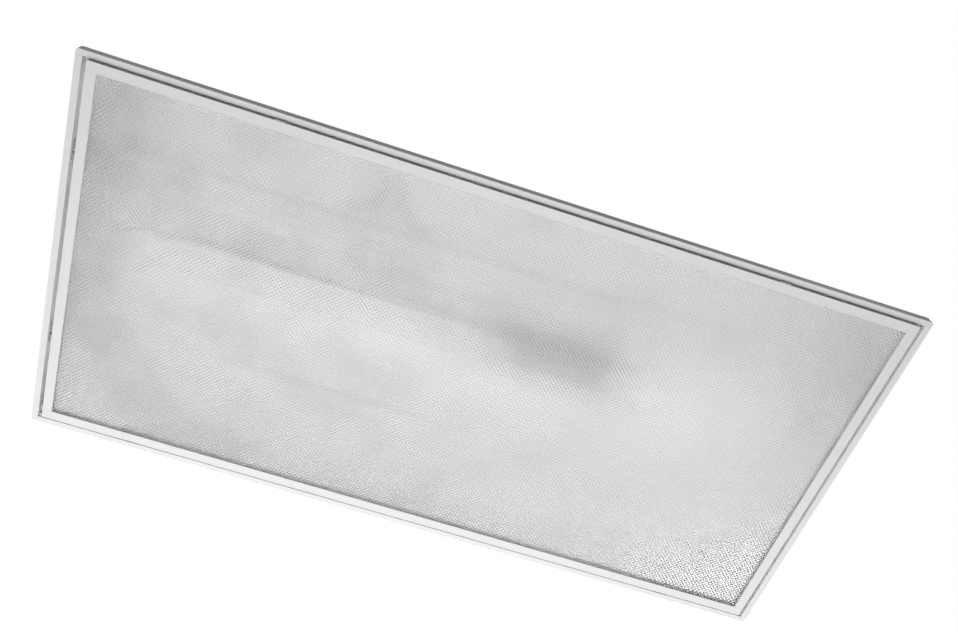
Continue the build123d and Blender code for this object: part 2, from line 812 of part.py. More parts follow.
def door_rivets():
    """All the rivets of the door."""
    rivets = [rivet(seat, head, sheet + bracket_wall) for seat, head in all_corner_seats()]
    rivets += [rivet(seat, head, sheet + lens_clip_wall) for seat, head in lens_clip_seats()]
    rivets += [rivet(seat, head, sheet + latch_plate) for seat, head in guide_seats()]
    return joined(rivets)


def lens_clips():
    """Spring clips that reach from the rail walls over the edge of the lens."""
    clips = []
    low, high = lens_top + sheet_gap, lens_top + sheet_gap + lens_clip_wall
    top = rivet_z + rivet_head + clearance
    reach = lens_near_set + lens_clip_lap
    for x in (-lens_clip_x, 0, lens_clip_x):
        wide = (x - lens_clip_length / 2, x + lens_clip_length / 2)
        foot = block(wide, (door_near + sheet, door_near + sheet + reach), (low, high))
        leg = block(wide, (door_near + sheet, door_near + sheet + lens_clip_wall), (low, top))
        clips.append(foot + leg)
    for end in (-1, 1):
        wall = end * (door_x - sheet)
        for y in (-lens_clip_y, lens_clip_y):
            wide = (y - lens_clip_length / 2, y + lens_clip_length / 2)
            foot = block((wall, wall - end * (lens_side_play + lens_clip_end_lap)), wide, (low, high))
            leg = block((wall, wall - end * lens_clip_wall), wide, (low, top))
            clips.append(foot + leg)
    return joined([pierced(clip) for clip in clips])


def lens_panel():
    """The clear panel that lies on the hems of the rails."""
    return block((-lens_x, lens_x), (lens_near, lens_far), (lens_bottom, lens_top))


# ---------------------------------------------------------------- hinges
def hinge_hanger(x):
    """The strap under the housing ledge whose rolled end carries the hinge pin."""
    under_ledge = rim_height - sheet
    half = hinge_tongue / 2
    tongue_y = (hinge_y - hinge_strap / 2, hinge_y + hinge_strap / 2)
    plate_x = (x - half - hinge_plate_margin, x + half + hinge_plate_margin)
    plate_y = (tongue_y[0], tongue_y[0] + hinge_plate_depth)
    plate = block(plate_x, plate_y, (under_ledge - hinge_plate, under_ledge))
    tongue = block((x - half, x + half), tongue_y, (hinge_z, under_ledge - hinge_plate))
    eye = rod((x - half, hinge_y, hinge_z), (x + half, hinge_y, hinge_z), hinge_eye)
    hanger = plate + tongue + eye
    hanger -= rod((x - half, hinge_y, hinge_z), (x + half, hinge_y, hinge_z), hinge_pin_radius + hinge_fit)
    for offset in (-hinge_screw_x, hinge_screw_x):
        top = (x + offset, hinge_screw_line, under_ledge)
        hanger -= rod((x + offset, hinge_screw_line, hinge_z), top, screw_radius)
    return hanger


def hinge_bracket(x):
    """The bracket welded into the far rail, with an ear on each side of the tongue."""
    inner = hinge_tongue / 2 + hinge_side_play
    outer = inner + hinge_ear
    around = hinge_pin_radius + hinge_ear_margin
    base_y = (lens_far + 2 * clearance, door_far - sheet)
    base = block((x - outer, x + outer), base_y, (door_floor, door_floor + hinge_plate))
    for side in (-1, 1):
        ear_x = (x + side * inner, x + side * outer)
        base += block(ear_x, (hinge_y - around, door_far - sheet), (door_floor, hinge_z + around))
    return base - rod((x - outer, hinge_y, hinge_z), (x + outer, hinge_y, hinge_z), hinge_pin_radius)


def hinge_pin(x):
    """The pin, fast in the ears and free in the eye."""
    reach = hinge_tongue / 2 + hinge_side_play + hinge_ear + hinge_pin_end
    return rod((x - reach, hinge_y, hinge_z), (x + reach, hinge_y, hinge_z), hinge_pin_radius)


# ---------------------------------------------------------------- latches
def latch_slider(x):
    """The slider, stored drawn in: nose plate, leg and the finger edge that shows in the gap."""
    half = latch_width / 2
    tip = -opening_y + clearance
    nose = block((x - half, x + half), (tip, tip + latch_depth), (nose_z, nose_z + latch_plate))
    leg = block((x - half, x + half), (leg_y, leg_y + latch_plate), (door_floor + clearance, nose_z))
    finger_z = (door_floor + clearance, door_floor + clearance + sheet)
    finger = block((x - half, x + half), (door_near - finger_reach, leg_y), finger_z)
    return nose + leg + finger


def latch_guide(x):
    """The guide riveted to the near rail that the slider runs in."""
    half = latch_width / 2 + clearance
    wall = half + guide_side
    deck_top = nose_z - clearance
    deck = (deck_top - guide_height, deck_top)
    start = door_near + sheet
    back = start + latch_depth
    guide = block((x - wall, x + wall), (start, back), deck)
    guide -= block((x - half, x + half), (start - 1, leg_y + latch_plate + clearance), deck)
    roof = nose_z + latch_plate + clearance
    roof_y = (back - guide_roof_back - guide_roof_length, back - guide_roof_back)
    guide += block((x - half - guide_roof, x + half + guide_roof), roof_y, (deck_top, roof + guide_roof))
    guide -= block((x - half, x + half), roof_y, (deck_top, roof))
    for side in (-1, 1):
        flange_x = (x + side * (half + clearance), x + side * wall)
        guide += block(flange_x, (start, start + latch_plate), (lens_top, deck[0]))
    return pierced(guide)


# ---------------------------------------------------------------- safety clips
def safety_clip(end, side):
    """A clip that folds out of the end wall, over the grid tee."""
    y = side * clip_y
    half = clip_width / 2
    knuckle = clip_pin_radius + clip_fit + clip_knuckle_wall
    x = end * clip_x
    thick = (x - clip_plate / 2, x + clip_plate / 2)
    plate = block(thick, (y - half, y + half), (clip_z, clip_z + clip_reach))
    clip = plate + rod((x, y - half, clip_z), (x, y + half, clip_z), knuckle)
    return clip - rod((x, y - half, clip_z), (x, y + half, clip_z), clip_pin_radius + clip_fit)


def safety_clip_pin(end, side):
    """The pin of a safety clip, held by the two ears."""
    reach = clip_width / 2 + clearance + clip_ear
    y = side * clip_y
    return rod((end * clip_x, y - reach, clip_z), (end * clip_x, y + reach, clip_z), clip_pin_radius)


# ---------------------------------------------------------------- the assembly
ends_and_sides = [(end, side) for end in (-1, 1) for side in (-1, 1)]
parts = {
    "housing_shell": housing_shell(),
    "end_plate_right": end_plate(),
    "access_plate": access_plate(),
    "housing_screws": housing_screws(),
    "ballast_tray": ballast_tray(),
    "ballast_case": ballast_case(),
    "tray_fasteners": tray_fasteners(),
    "grounding_screw": grounding_screw(),
    "wire_grommets": joined([grommet(left_grommet), grommet(right_grommet)]),
    "cable_clips": joined([cable_clip(x) for x in cable_clip_x]),
    "lead_sleeve": lead_sleeve(),
    "lead_blue": lamp_lead("lead_blue", -side_step, -1),
    "lead_red": lamp_lead("lead_red", side_step, 1),
    "leads_yellow": joined([right_lead("near", -side_step, -1), right_lead("far", side_step, 1)]),
    "lead_black": supply_lead("black", 10.8, -140.0),
    "lead_white": supply_lead("white", 7.2, -147.0),
    "lead_green": earth_lead(),
    "wire_nuts": joined([wire_nut(x) for x in nut_x.values()]),
    "hinge_hangers": joined([hinge_hanger(-hinge_x), hinge_hanger(hinge_x)]),
    "hinge_brackets": joined([hinge_bracket(-hinge_x), hinge_bracket(hinge_x)]),
    "hinge_pins": joined([hinge_pin(-hinge_x), hinge_pin(hinge_x)]),
    "door_rail_near": near_rail(),
    "door_rail_far": far_rail(),
    "door_rail_right": pierced(end_rail()),
    "corner_brackets": joined([corner_bracket(end, near) for end in (-1, 1) for near in (True, False)]),
    "door_rivets": door_rivets(),
    "lens_panel": lens_panel(),
    "lens_clips": lens_clips(),
    "latch_guides": joined([latch_guide(latch_left_x), latch_guide(latch_right_x)]),
    "latch_slider_left": latch_slider(latch_left_x),
    "latch_slider_right": latch_slider(latch_right_x),
    "safety_clip_pins": joined([safety_clip_pin(end, side) for end, side in ends_and_sides]),
}
parts["end_plate_left"] = mirror_x(parts["end_plate_right"])
parts["door_rail_left"] = mirror_x(parts["door_rail_right"])
for place, side in (("near", -1), ("far", 1)):
    holder, cap, rotor = lampholder(side), lamp_cap(side), lamp_rotor(side)
    parts["lampholder_right_" + place] = holder
    parts["lampholder_left_" + place] = mirror_x(holder)
    parts["lamp_" + place + "_tube"] = lamp_tube(side)
    parts["lamp_" + place + "_caps"] = joined([cap, mirror_x(cap)])
    parts["lamp_" + place + "_rotors"] = joined([rotor, mirror_x(rotor)])
    for hand, end in (("left", -1), ("right", 1)):
        parts["safety_clip_" + hand + "_" + place] = safety_clip(end, side)
parts["lampholder_contacts"] = joined(
    [contact for end, side in ends_and_sides for contact in holder_contacts(end, side)]
)

os.makedirs("parts", exist_ok=True)
for name, shape in parts.items():
    export_step(shape, "parts/" + name + ".step")
print(len(parts), "nodes written")
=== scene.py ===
# %% [markdown]
# # A recessed ceiling light, seen from the room below
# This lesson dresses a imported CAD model. The model is metric: X runs along the light, Y across it,
# and Z points up into the ceiling. The flange that rests on the ceiling grid lies at Z = 0.
# The CAD nodes are the fixed frame, and every new piece is placed by the boxes of those nodes.

# %% Load the frame
import json
import math

import bpy
from mathutils import Matrix, Vector

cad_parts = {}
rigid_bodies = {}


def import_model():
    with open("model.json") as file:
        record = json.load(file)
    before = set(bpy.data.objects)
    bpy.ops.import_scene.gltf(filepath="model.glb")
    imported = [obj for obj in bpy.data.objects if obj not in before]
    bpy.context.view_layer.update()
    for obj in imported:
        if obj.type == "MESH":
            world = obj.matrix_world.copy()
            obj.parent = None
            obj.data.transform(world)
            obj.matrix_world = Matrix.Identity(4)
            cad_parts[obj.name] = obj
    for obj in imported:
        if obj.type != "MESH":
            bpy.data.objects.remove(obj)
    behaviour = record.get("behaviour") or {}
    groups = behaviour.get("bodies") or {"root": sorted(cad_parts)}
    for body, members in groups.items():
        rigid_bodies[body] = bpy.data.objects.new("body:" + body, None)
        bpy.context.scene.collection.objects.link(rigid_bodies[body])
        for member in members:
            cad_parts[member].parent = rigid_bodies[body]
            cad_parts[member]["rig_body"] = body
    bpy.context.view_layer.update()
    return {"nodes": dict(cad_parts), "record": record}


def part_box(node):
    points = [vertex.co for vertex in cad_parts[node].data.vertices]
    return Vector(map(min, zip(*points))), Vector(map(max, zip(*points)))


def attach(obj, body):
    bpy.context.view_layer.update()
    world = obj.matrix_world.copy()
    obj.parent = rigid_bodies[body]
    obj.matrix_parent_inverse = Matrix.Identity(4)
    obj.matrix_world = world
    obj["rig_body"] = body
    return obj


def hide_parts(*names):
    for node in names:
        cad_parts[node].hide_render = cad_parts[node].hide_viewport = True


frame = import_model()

nodes = frame["nodes"]
MM = 0.001

# %% [markdown]
# ## The camera
# The photograph was taken from below and from beyond the latch side of the light, looking up.
# Its place and turn were worked out from the four corners of the flange. The rows below are the
# picture's right, down and forward directions, written in the model's own axes. A small shift puts
# the optical axis where the photograph has it.

# %% Camera
IMAGE_WIDTH, IMAGE_HEIGHT = 958, 640
SENSOR_WIDTH = 36.0
NEAREST, FARTHEST = 0.01, 50.0
focal_pixels = 938.67
axis_pixel = (453.33, 316.71)
camera_place = Vector((-0.1513, -0.7056, -1.1953))
to_right = Vector((0.95223, -0.29959, 0.05914))
to_down = Vector((0.29227, 0.838, -0.4608))
to_front = Vector((0.08849, 0.45607, 0.88553))

camera_data = bpy.data.cameras.new("room_camera")
camera = bpy.data.objects.new("room_camera", camera_data)
bpy.context.collection.objects.link(camera)
turn = Matrix((to_right, -to_down, -to_front)).transposed().to_4x4()
camera.matrix_world = Matrix.Translation(camera_place) @ turn
camera_data.sensor_width = SENSOR_WIDTH
camera_data.lens = focal_pixels / IMAGE_WIDTH * SENSOR_WIDTH
camera_data.shift_x = (IMAGE_WIDTH / 2 - axis_pixel[0]) / IMAGE_WIDTH
camera_data.shift_y = (axis_pixel[1] - IMAGE_HEIGHT / 2) / IMAGE_WIDTH
camera_data.clip_start = NEAREST
camera_data.clip_end = FARTHEST
scene = bpy.context.scene
scene.camera = camera
camera_shift = (round(camera_data.shift_x, 4), round(camera_data.shift_y, 4))
print("lens", round(camera_data.lens, 2), "mm, shift", camera_shift)

# %% [markdown]
# ## Node helpers
# A shader is a tree of nodes, and most of its steps are alike: a value is set or linked, two values
# are combined, or a range is mapped to another. One short function for each keeps the materials
# below short. A socket takes either a plain value or the output of another node.


# %% Small nodes
def feed(tree, socket, value):
    """Gives a socket a plain value, or links it to another node's output."""
    if isinstance(value, bpy.types.NodeSocket):
        tree.links.new(value, socket)
    else:
        socket.default_value = value


def combine(tree, operation, first, second):
    """A Math node on two values, such as MULTIPLY."""
    node = tree.nodes.new("ShaderNodeMath")
    node.operation = operation
    feed(tree, node.inputs[0], first)
    feed(tree, node.inputs[1], second)
    return node.outputs[0]


def spread(tree, value, inputs, outputs, curve="LINEAR"):
    """Maps a value from one pair of ends to another; beyond the ends it stays at the nearer one."""
    node = tree.nodes.new("ShaderNodeMapRange")
    node.interpolation_type = curve
    feed(tree, node.inputs["Value"], value)
    feed(tree, node.inputs["From Min"], inputs[0])
    feed(tree, node.inputs["From Max"], inputs[1])
    feed(tree, node.inputs["To Min"], outputs[0])
    feed(tree, node.inputs["To Max"], outputs[1])
    return node.outputs["Result"]


def axes(tree, vector):
    """The X, Y and Z of a vector, as outputs."""
    node = tree.nodes.new("ShaderNodeSeparateXYZ")
    tree.links.new(vector, node.inputs[0])
    return node.outputs


# %% [markdown]
# ## The room
# The light hangs above a pale floor in a white studio. The world is a faint glow, and it is fainter
# on the near side, because in the photograph the rim's near wall is dark while everything that
# faces down is pale. Whatever the camera, a reflection or a look through the lens sees is plain
# white instead, and so is the floor. A Light Path node tells those rays from the ones that carry
# light, which makes the background white without more light on the object.

# %% World
GLOW_DIM, GLOW_FULL = 0.04, 0.10
DIM_BELOW_Y, FULL_ABOVE_Y = -0.55, 0.05
WHITE = (1.0, 1.0, 1.0, 1.0)


def watched(tree):
    """1 for a camera, glossy or transmission ray, which all see plain white, and else 0."""
    path = tree.nodes.new("ShaderNodeLightPath").outputs
    seen = combine(tree, "MAXIMUM", path["Is Camera Ray"], path["Is Glossy Ray"])
    return combine(tree, "MAXIMUM", seen, path["Is Transmission Ray"])


def white_when_watched(tree, lit, white, surface):
    """Shows a white shader to the rays that look, and the lit one to those that carry light."""
    mix = tree.nodes.new("ShaderNodeMixShader")
    tree.links.new(watched(tree), mix.inputs["Fac"])
    tree.links.new(lit.outputs[0], mix.inputs[1])
    tree.links.new(white.outputs[0], mix.inputs[2])
    tree.links.new(mix.outputs[0], surface)


def make_world():
    """A white backdrop, and a glow that grows from the near side to the far side."""
    world = bpy.data.worlds.new("soft_studio")
    world.use_nodes = True
    tree = world.node_tree
    tree.nodes.clear()
    glow = tree.nodes.new("ShaderNodeBackground")
    backdrop = tree.nodes.new("ShaderNodeBackground")
    direction = axes(tree, tree.nodes.new("ShaderNodeTexCoord").outputs["Generated"])
    near_to_far = (DIM_BELOW_Y, FULL_ABOVE_Y)
    level = spread(tree, direction["Y"], near_to_far, (GLOW_DIM, GLOW_FULL), "SMOOTHSTEP")
    feed(tree, glow.inputs["Strength"], level)
    feed(tree, glow.inputs["Color"], WHITE)
    feed(tree, backdrop.inputs["Strength"], 1.0)
    feed(tree, backdrop.inputs["Color"], WHITE)
    out = tree.nodes.new("ShaderNodeOutputWorld")
    white_when_watched(tree, glow, backdrop, out.inputs["Surface"])
    return world


scene.view_settings.view_transform = "Standard"
scene.world = make_world()
print("world glow", GLOW_DIM, "to", GLOW_FULL)

# %% Floor of the studio
FLOOR_Z = -2.4
FLOOR_RADIUS = 0.9
FLOOR_SIDES = 96
FLOOR_COLOUR = (0.8, 0.8, 0.8, 1.0)
FLOOR_ROUGHNESS = 0.7


def deselect():
    """Leaves edit mode, and leaves nothing selected."""
    if bpy.context.mode != "OBJECT":
        bpy.ops.object.mode_set(mode="OBJECT")
    bpy.ops.object.select_all(action="DESELECT")


def make_floor():
    """A round pale floor below the light."""
    deselect()
    place = (0, 0, FLOOR_Z)
    bpy.ops.mesh.primitive_circle_add(
        vertices=FLOOR_SIDES, radius=FLOOR_RADIUS, fill_type="NGON", location=place
    )
    floor = bpy.context.object
    floor.name = "pale_floor"
    material = bpy.data.materials.new("pale_floor")
    material.use_nodes = True
    tree = material.node_tree
    shader = tree.nodes["Principled BSDF"]
    feed(tree, shader.inputs["Base Color"], FLOOR_COLOUR)
    feed(tree, shader.inputs["Roughness"], FLOOR_ROUGHNESS)
    white = tree.nodes.new("ShaderNodeEmission")
    white_when_watched(tree, shader, white, tree.nodes["Material Output"].inputs["Surface"])
    floor.data.materials.append(material)
    return floor


floor = make_floor()
print("floor at", FLOOR_Z, "m")

# %% [markdown]
# ## The studio lamps
# Most of the light comes from three wide lamps below and beyond the far side, which leave the near
# rail a little darker than the far one. A fourth lamp lights the top. All four are wide, because
# small lamps make bright sparks in the prisms of the lens, and none is seen by the camera or in
# reflections, so that no square of light shows on the piece.


# %% Studio lamps
def studio_lamp(name, place, aim, size, power):
    """A square lamp of a size in metres and a power in watts, which faces a point."""
    data = bpy.data.lights.new(name, "AREA")
    data.shape = "SQUARE"
    data.size = size
    data.energy = power
    lamp = bpy.data.objects.new(name, data)
    bpy.context.collection.objects.link(lamp)
    lamp.location = place
    lamp.visible_camera = False
    lamp.visible_glossy = False
    lamp.rotation_mode = "QUATERNION"
    lamp.rotation_quaternion = (Vector(aim) - Vector(place)).to_track_quat("-Z", "Y")
    return lamp


lamps = [
    studio_lamp("under_lamp", (0.0, 0.75, -1.95), (0.0, 0.15, 0.0), 2.0, 33.0),
    studio_lamp("left_lamp", (-1.1, 1.0, -1.05), (-0.2, 0.1, 0.0), 1.4, 6.0),
    studio_lamp("right_lamp", (1.1, 1.0, -1.05), (0.2, 0.1, 0.0), 1.7, 6.2),
    studio_lamp("top_lamp", (-0.6, 0.9, 2.4), (0.0, 0.0, 0.0), 1.6, 50.0),
]
for lamp in lamps:
    print(lamp.name, round(lamp.data.energy, 1), "W")

# %% [markdown]
# ## Shared surface effects
# Painted steel, plated steel and moulded plastic all have a little grain, dust and uneven gloss.
# Each effect is one node group with named inputs, placed in every material with its own values.
# The groups read Object coordinates, which are metres here, so a scale of 400 gives a grain of
# about 2.5 mm.

# %% Texture helpers
NOISE_ROUGHNESS = 0.55
MIX_FIRST, MIX_SECOND, MIX_RESULT = 6, 7, 2


def noise(tree, vector, scale, detail, roughness=NOISE_ROUGHNESS):
    """A noise texture's value over a vector; the scale may be a socket."""
    node = tree.nodes.new("ShaderNodeTexNoise")
    feed(tree, node.inputs["Vector"], vector)
    feed(tree, node.inputs["Scale"], scale)
    feed(tree, node.inputs["Detail"], detail)
    feed(tree, node.inputs["Roughness"], roughness)
    return node.outputs["Fac"]


def blend_colour(tree, factor, first, second):
    """Mixes two colours by a factor; the Mix node's colour sockets are picked by number."""
    node = tree.nodes.new("ShaderNodeMix")
    node.data_type = "RGBA"
    feed(tree, node.inputs["Factor"], factor)
    feed(tree, node.inputs[MIX_FIRST], first)
    feed(tree, node.inputs[MIX_SECOND], second)
    return node.outputs[MIX_RESULT]


def bump(tree, height, distance):
    """A normal that rises and falls with a height, by a distance in metres."""
    node = tree.nodes.new("ShaderNodeBump")
    feed(tree, node.inputs["Strength"], 1.0)
    feed(tree, node.inputs["Height"], height)
    feed(tree, node.inputs["Distance"], distance)
    return node.outputs["Normal"]


# %% Surface group
SPECK_SCALE, SPECK_DETAIL, SPECK_ROUGHNESS = 900.0, 3.0, 0.7
SPECK_EDGES, SPECK_STRENGTH = (0.62, 0.72), 0.6
CLOUD_DETAIL, CLOUD_EDGES = 5.0, (0.42, 0.72)
GRAIN_DETAIL = 2.0
GLOSS_EDGES = (0.3, 0.7)

SURFACE_INPUTS = [
    ("Colour", "NodeSocketColor", (0.8, 0.8, 0.8, 1.0)),
    ("Dust Colour", "NodeSocketColor", (0.6, 0.58, 0.55, 1.0)),
    ("Dust", "NodeSocketFloat", 0.1),
    ("Cloud Scale", "NodeSocketFloat", 9.0),
    ("Gloss Low", "NodeSocketFloat", 0.3),
    ("Gloss High", "NodeSocketFloat", 0.45),
    ("Grain Scale", "NodeSocketFloat", 500.0),
    ("Grain Depth", "NodeSocketFloat", 0.03 * MM),
]
SURFACE_OUTPUTS = [
    ("Colour", "NodeSocketColor"),
    ("Roughness", "NodeSocketFloat"),
    ("Normal", "NodeSocketVector"),
]


def new_group(name, inputs, outputs):
    """A node group with named sockets, the values it is given, and the node for its results."""
    group = bpy.data.node_groups.new(name, "ShaderNodeTree")
    for socket_name, kind, value in inputs:
        socket = group.interface.new_socket(name=socket_name, in_out="INPUT", socket_type=kind)
        socket.default_value = value
    for socket_name, kind in outputs:
        group.interface.new_socket(name=socket_name, in_out="OUTPUT", socket_type=kind)
    given = group.nodes.new("NodeGroupInput").outputs
    return group, given, group.nodes.new("NodeGroupOutput")


def make_surface_group():
    """Cloudy colour, uneven gloss and fine grain for painted, plated and moulded surfaces."""
    group, given, put = new_group("surface_variation", SURFACE_INPUTS, SURFACE_OUTPUTS)
    place = group.nodes.new("ShaderNodeTexCoord").outputs["Object"]
    cloud = noise(group, place, given["Cloud Scale"], CLOUD_DETAIL)
    grain = noise(group, place, given["Grain Scale"], GRAIN_DETAIL)
    speck = noise(group, place, SPECK_SCALE, SPECK_DETAIL, SPECK_ROUGHNESS)
    settled = spread(group, cloud, CLOUD_EDGES, (0.0, 1.0))
    specks = spread(group, speck, SPECK_EDGES, (0.0, SPECK_STRENGTH))
    dust = combine(group, "MULTIPLY", combine(group, "MAXIMUM", settled, specks), given["Dust"])
    colour = blend_colour(group, dust, given["Colour"], given["Dust Colour"])
    gloss = spread(group, cloud, GLOSS_EDGES, (given["Gloss Low"], given["Gloss High"]))
    feed(group, put.inputs["Colour"], colour)
    feed(group, put.inputs["Roughness"], gloss)
    feed(group, put.inputs["Normal"], bump(group, grain, given["Grain Depth"]))
    return group


surface_group = make_surface_group()
print("group", surface_group.name, len(surface_group.nodes), "nodes")

# %% [markdown]
# ## Materials
# Each finish is a Principled shader with one surface group. A colour that is the same all over the
# piece is set on the group or on the shader itself. The gloss is the lowest and the highest
# roughness, and the grain is a scale and a depth in millimetres.

# %% Material maker
GREY_DUST = (0.55, 0.54, 0.52)
COAT_ROUGHNESS = 0.15
CLOUD_SCALE = 9.0
finishes = {}


def add_finish(
    name, colour, dust, gloss, grain, dust_colour=GREY_DUST, metallic=0.0, coat=0.0, cloud=CLOUD_SCALE
):
    """Adds a material whose colour, roughness and normal come from the surface group."""
    material = bpy.data.materials.new(name)
    material.use_nodes = True
    tree = material.node_tree
    shader = tree.nodes["Principled BSDF"]
    shader.inputs["Metallic"].default_value = metallic
    shader.inputs["Coat Weight"].default_value = coat
    shader.inputs["Coat Roughness"].default_value = COAT_ROUGHNESS
    group = tree.nodes.new("ShaderNodeGroup")
    group.node_tree = surface_group
    group.inputs["Colour"].default_value = (*colour, 1.0)
    group.inputs["Dust Colour"].default_value = (*dust_colour, 1.0)
    group.inputs["Dust"].default_value = dust
    group.inputs["Cloud Scale"].default_value = cloud
    group.inputs["Gloss Low"].default_value = gloss[0]
    group.inputs["Gloss High"].default_value = gloss[1]
    group.inputs["Grain Scale"].default_value = grain[0]
    group.inputs["Grain Depth"].default_value = grain[1] * MM
    tree.links.new(group.outputs["Colour"], shader.inputs["Base Color"])
    tree.links.new(group.outputs["Roughness"], shader.inputs["Roughness"])
    tree.links.new(group.outputs["Normal"], shader.inputs["Normal"])
    finishes[name] = material


# %% [markdown]
# The housing and the door are folded steel with baked white enamel, and the ballast case has a grey
# one, which looks right behind the lens. The lamps are glass with a white lining, so they are plain
# white with a thin clear coat.

# %% Enamel and lamp glass
BALLAST_DUST = (0.5, 0.49, 0.48)
add_finish("white_enamel", (0.93, 0.93, 0.925), 0.05, (0.30, 0.42), (700, 0.02))
add_finish("ballast_enamel", (0.42, 0.42, 0.425), 0.3, (0.28, 0.42), (600, 0.03), BALLAST_DUST)
add_finish("lamp_glass", (0.9, 0.9, 0.895), 0.06, (0.06, 0.14), (300, 0.005), coat=0.5)
print(len(finishes), "finishes")

# %% [markdown]
# The small metal pieces are full metals, whose colour is the colour of their reflection. Zinc has a
# finer cloud, for the spangle of its plating. The earth screw is dyed green over metal, so it is
# only partly metallic.

# %% Metals
BRASS_DUST = (0.4, 0.3, 0.18)
ZINC_DUST = (0.5, 0.5, 0.52)
GREEN_DUST = (0.2, 0.25, 0.2)
ZINC_CLOUD = 60.0
add_finish("lamp_cap_metal", (0.74, 0.74, 0.75), 0.15, (0.22, 0.36), (1200, 0.01), metallic=1.0)
add_finish("contact_brass", (0.78, 0.57, 0.26), 0.3, (0.2, 0.4), (900, 0.02), BRASS_DUST, 1.0)
add_finish("spring_steel", (0.55, 0.56, 0.58), 0.15, (0.2, 0.35), (900, 0.01), metallic=1.0)
add_finish(
    "zinc_steel", (0.62, 0.63, 0.65), 0.4, (0.25, 0.5), (160, 0.02), ZINC_DUST, 1.0, cloud=ZINC_CLOUD
)
add_finish("earth_green", (0.03, 0.26, 0.08), 0.2, (0.25, 0.4), (500, 0.02), GREEN_DUST, 0.3)
print(len(finishes), "finishes")

# %% [markdown]
# Plastic and rubber are the same shader without metal. Dust shows most on the black pieces, where it
# has a darker grey of its own. The leads are plastic too, and differ only in colour, so one loop
# makes them all.

# %% Plastic and rubber
SOOT = (0.12, 0.12, 0.12)
add_finish("holder_plastic", (0.82, 0.82, 0.81), 0.12, (0.38, 0.5), (900, 0.03))
add_finish("nylon", (0.78, 0.78, 0.73), 0.1, (0.35, 0.5), (900, 0.02))
add_finish("wire_nut_plastic", (0.18, 0.18, 0.2), 0.1, (0.35, 0.5), (900, 0.03))
add_finish("black_sleeve", (0.025, 0.025, 0.03), 0.15, (0.4, 0.55), (900, 0.05), SOOT)
add_finish("black_rubber", (0.02, 0.02, 0.02), 0.3, (0.6, 0.8), (900, 0.04), SOOT)
print(len(finishes), "finishes")

# %% Wires
WIRE_COLOURS = {
    "wire_blue": (0.05, 0.10, 0.30),
    "wire_red": (0.36, 0.05, 0.05),
    "wire_yellow": (0.66, 0.52, 0.16),
    "wire_black": (0.018, 0.018, 0.018),
    "wire_white": (0.78, 0.78, 0.76),
    "wire_green": (0.02, 0.28, 0.06),
}
WIRE_DUST, WIRE_GLOSS, WIRE_GRAIN = 0.06, (0.25, 0.35), (900, 0.01)
for name, colour in WIRE_COLOURS.items():
    add_finish(name, colour, WIRE_DUST, WIRE_GLOSS, WIRE_GRAIN)
print(len(finishes), "finishes")

# %% [markdown]
# ## Clear acrylic
# The lens is moulded in clear acrylic, with a square prism every few millimetres on its room side.
# The prisms are real geometry, made further down, and the light bends in them by itself. Four
# flat sides to a prism split the view into hard copies, while on a moulded lens they are a
# little round. Finer geometry would be far too heavy, so a Bump node turns each pyramid towards a
# cone. Two Voronoi textures without randomness are on the same grid as the prisms. One measures the
# straight distance from the tip, as a cone does, and the other the longer of the two steps along
# the grid, as a pyramid does. Their difference is the height that the bump adds.
#
# The grid is crisp at the left and soft at the right, so the haze of the acrylic grows along X,
# unevenly through a noise texture. Dark dots at the prism tips are painted shade: the tips get a
# darker colour, less of it to the right, and unevenly, through a noise texture.

# %% Prism grid
PRISM_PITCH = 4.7625 * MM
PRISM_DEPTH = 1.9 * MM
PRISM_TURN = math.radians(45)


def prism_cells(low, high):
    """How many prisms a square grid at 45 degrees needs along one side to cover the panel."""
    return math.ceil((high.x - low.x + high.y - low.y) / math.sqrt(2) / PRISM_PITCH) + 2


def prism_grid(tree, place, low, high):
    """A place on the grid of the prisms, where one pitch is 1 and the tips are whole numbers."""
    centre = Matrix.Rotation(-PRISM_TURN, 3, "Z") @ ((low + high) / 2) / PRISM_PITCH
    half = 0.5 if prism_cells(low, high) % 2 == 0 else 0.0
    node = tree.nodes.new("ShaderNodeMapping")
    node.inputs["Scale"].default_value = (1 / PRISM_PITCH,) * 3
    node.inputs["Rotation"].default_value = (0, 0, -PRISM_TURN)
    node.inputs["Location"].default_value = (half - centre.x, half - centre.y, 0)
    tree.links.new(place, node.inputs["Vector"])
    return node.outputs["Vector"]


def tip_distance(tree, grid, metric):
    """The distance from the nearest prism tip, in pitches."""
    node = tree.nodes.new("ShaderNodeTexVoronoi")
    node.voronoi_dimensions = "2D"
    node.distance = metric
    node.inputs["Scale"].default_value = 1.0
    node.inputs["Randomness"].default_value = 0.0
    tree.links.new(grid, node.inputs["Vector"])
    return node.outputs["Distance"]


panel_low, panel_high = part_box("lens_panel")
print(prism_cells(panel_low, panel_high), "prisms along one side of the grid")

# %% Acrylic
ACRYLIC_CLEARNESS = 0.92
ACRYLIC_IOR = 1.49
HAZE_ENDS, HAZE_LEVELS = (-0.5, 0.3), (0.06, 0.16)
HAZE_NOISE, HAZE_EDGES, HAZE_CHANGE = (14.0, 3.0), (0.3, 0.7), (0.8, 1.2)
# The tip grey below is painted shade at the prism tips, not a colour of the acrylic.
PAINTED_TIP_SHADE = (0.57, 0.57, 0.57, 1.0)
TIP_EDGES = (0.24, 0.42)
TIP_NOISE, TIP_CLOUD_EDGES, TIP_CLOUD_LEVELS = (7.0, 2.0), (0.44, 0.62), (0.15, 1.0)
TIP_ENDS, TIP_LEVELS = (-0.55, 0.45), (1.0, 0.15)
PRISM_FADE = 0.1 * MM


def acrylic_haze(tree, place, along):
    """The roughness: it grows along X, and a noise texture makes it a little uneven."""
    haze = spread(tree, along, HAZE_ENDS, HAZE_LEVELS)
    uneven = spread(tree, noise(tree, place, *HAZE_NOISE), HAZE_EDGES, HAZE_CHANGE)
    return combine(tree, "MULTIPLY", haze, uneven)


